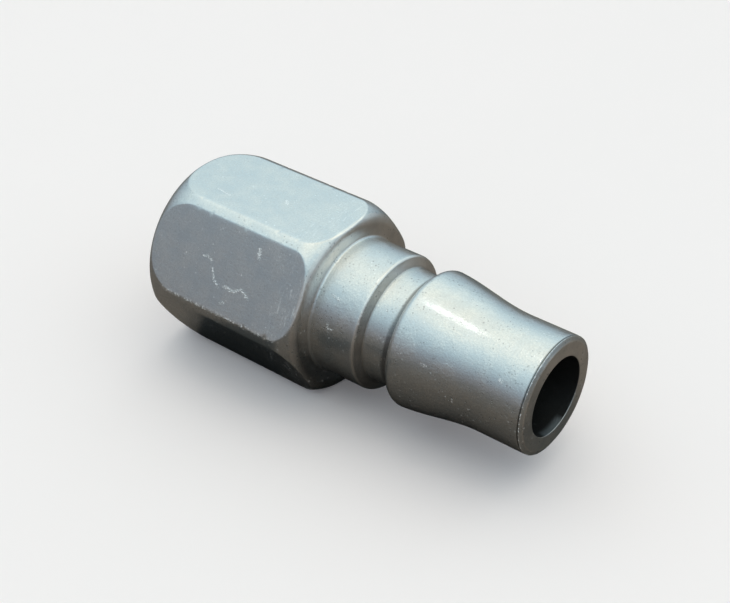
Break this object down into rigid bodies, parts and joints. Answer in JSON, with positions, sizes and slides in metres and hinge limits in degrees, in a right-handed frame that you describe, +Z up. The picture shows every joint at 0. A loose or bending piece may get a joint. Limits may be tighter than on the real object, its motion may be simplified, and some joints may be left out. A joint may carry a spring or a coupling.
{
  "type": "quick disconnect coupling plug",
  "caption": "Plug half of a quick disconnect air or fluid coupling: hexagon with a female pipe port, ball-lock groove, flared hollow nose and a sprung shut-off poppet inside.",
  "frame": {"origin": "middle of the length and width, at the level of the hexagon flat that the plug rests on", "axes": "+X along the coupling's axis towards the tip, +Z up out of the opposite flat of the hexagon"},
  "size_m": [0.0436, 0.0202, 0.018],
  "materials": {
    "body_steel": "satin plated steel with scratches and fine pits",
    "valve_brass": "turned, satin",
    "seal_rubber": "matt",
    "spring_steel": "drawn wire, bright",
    "guide_brass": "turned, satin",
    "ring_steel": "dark spring steel"
  },
  "bodies": {
    "plug": {"plug_body": "body_steel", "valve_guide": "guide_brass", "retaining_ring": "ring_steel", "valve_spring": "spring_steel"},
    "valve": {"valve_poppet": "valve_brass", "valve_seal": "seal_rubber"}
  },
  "joints": [
    {"name": "valve_open", "type": "slide", "parent": "plug", "child": "valve", "axis": [-1, 0, 0], "range_m": [0, 0.0032], "stiffness_N_per_m": 2000, "springref_m": -0.003, "deforming": ["valve_spring"]}
  ]
}
